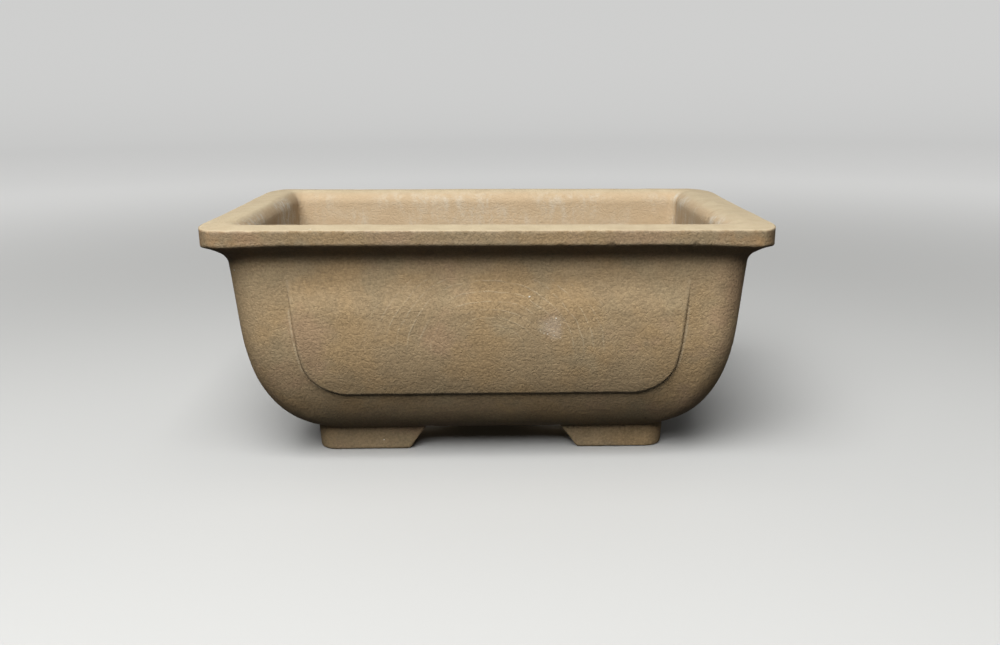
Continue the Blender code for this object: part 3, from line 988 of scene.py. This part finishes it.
# each slot's share of lime specks
SPECKLED = {"clay_wall": 0.05, "clay_rim": 0.03, "clay_panel": 0.09, "clay_floor": 0.03, "clay_foot": 0.03}
CLAY = {slot_name: stoneware(slot_name, share) for slot_name, share in SPECKLED.items()}

for side in SIDES:
    make_side(*side)
    make_panel(*side)
for end, sign_y in (("front", -1), ("back", 1)):
    for flank, sign_x in (("left", -1), ("right", 1)):
        make_foot(end + "_" + flank, sign_x, sign_y)
make_floor()


# ---- studio ---------------------------------------------------------------------------------
STAGE_RADIUS = 1.5
STAGE_CURVE = 0.9
STAGE_HEIGHT = 2.2
STAGE_GREY = (0.42, 0.42, 0.41)
NEAR_GLOW = 0.40              # how much the floor glows a little way off, where less light reaches it
FAR_GLOW = 0.14               # and how much more it glows further off
WORLD_LIGHT = 0.06
# azimuth, elevation, distance, size, watts
SOFTBOXES = {
    "key": (-14, 49, 0.80, 0.62, 13.5),
    "top": (0, 82, 1.10, 0.80, 2.5),
    "back_left": (-140, 38, 1.30, 0.90, 1.5),
    "back_right": (140, 38, 1.30, 0.90, 1.5),
}
EYE = Vector((1.69, -312.42, 103.75)) * MM
PITCH = math.radians(13.15)   # looking down
YAW = math.radians(0.25)
ROLL = math.radians(-0.56)
LENS = 37.8


def matte(name, colour):
    """Plain stage surface, as well lit far off as it is near the pot."""
    material = bpy.data.materials.new(name)
    material.use_nodes = True
    shader = material.node_tree.nodes["Principled BSDF"]
    shader.inputs["Base Color"].default_value = (*colour, 1.0)
    shader.inputs["Roughness"].default_value = 0.95
    shader.inputs["Specular IOR Level"].default_value = 0.1
    g = Graph(material.node_tree)
    far = g.add("ShaderNodeVectorMath", operation="LENGTH")
    g.feed(far.inputs[0], g.place)
    g.feed(shader.inputs["Emission Color"], (1.0, 1.0, 0.99))
    glow = g.total(g.step(far.outputs["Value"], 0.20, 0.85, 0.0, NEAR_GLOW),
                   g.step(far.outputs["Value"], 0.8, 2.1, 0.0, FAR_GLOW))
    g.feed(shader.inputs["Emission Strength"], glow)
    return material


def add_stage():
    """Pale round floor that curves up into a wall all round."""
    profile = [(0.0, 0.0)]
    for degrees in range(0, 91, 6):
        angle = math.radians(degrees)
        out = STAGE_RADIUS + STAGE_CURVE * math.sin(angle)
        profile.append((out, STAGE_CURVE * (1 - math.cos(angle))))
    profile.append((STAGE_RADIUS + STAGE_CURVE, STAGE_HEIGHT))
    mesh = bpy.data.meshes.new("stage_floor")
    bm = bmesh.new()
    line = [bm.verts.new((r, 0, z)) for r, z in profile]
    edges = [bm.edges.new(pair) for pair in zip(line, line[1:])]
    bmesh.ops.spin(bm, geom=line + edges, cent=(0, 0, 0), axis=(0, 0, 1), angle=2 * math.pi, steps=96)
    bmesh.ops.remove_doubles(bm, verts=bm.verts, dist=0.1 * MM)
    bmesh.ops.recalc_face_normals(bm, faces=bm.faces)
    bm.to_mesh(mesh)
    bm.free()
    mesh.shade_smooth()
    mesh.materials.append(matte("stage", STAGE_GREY))
    ground = bpy.data.objects.new("stage_floor", mesh)
    bpy.context.scene.collection.objects.link(ground)
    # the clay isn't lit from below by the pale floor
    ground.visible_diffuse = False
    ground.visible_glossy = False


def add_softbox(name, azimuth, elevation, distance, size, watts):
    """Square area light that faces the pot; azimuth 0 is in front of it, 90 is on its right."""
    light = bpy.data.lights.new(name, "AREA")
    light.shape = "SQUARE"
    light.size = size
    light.energy = watts
    softbox = bpy.data.objects.new(name, light)
    a, e = math.radians(azimuth), math.radians(elevation)
    target = Vector((0, 0, HEIGHT / 2))
    way = Vector((math.sin(a) * math.cos(e), -math.cos(a) * math.cos(e), math.sin(e)))
    softbox.location = target + way * distance
    softbox.rotation_euler = way.to_track_quat("Z", "Y").to_euler()
    bpy.context.scene.collection.objects.link(softbox)


def add_world(strength):
    """Weak even light from all round."""
    world = bpy.data.worlds.new("studio")
    world.use_nodes = True
    background = world.node_tree.nodes["Background"]
    background.inputs["Color"].default_value = (0.95, 0.97, 1.0, 1.0)
    background.inputs["Strength"].default_value = strength
    bpy.context.scene.world = world


def add_camera():
    """Camera in front of the pot, a little above it."""
    flat = math.cos(PITCH)
    forward = Vector((math.sin(YAW) * flat, math.cos(YAW) * flat, -math.sin(PITCH)))
    level = Vector((math.cos(YAW), -math.sin(YAW), 0))
    upright = level.cross(forward)
    right = level * math.cos(ROLL) + upright * math.sin(ROLL)
    up = upright * math.cos(ROLL) - level * math.sin(ROLL)
    camera = bpy.data.objects.new("camera", bpy.data.cameras.new("camera"))
    camera.data.lens = LENS
    camera.data.sensor_width = 36.0
    camera.data.clip_start = 0.01
    aim = Matrix((right, up, -forward)).transposed().to_4x4()
    camera.matrix_world = Matrix.Translation(EYE) @ aim
    bpy.context.scene.collection.objects.link(camera)
    bpy.context.scene.camera = camera


add_stage()
for light_name, placing in SOFTBOXES.items():
    add_softbox(light_name, *placing)
add_world(WORLD_LIGHT)
add_camera()
bpy.context.scene.view_settings.view_transform = "Standard"
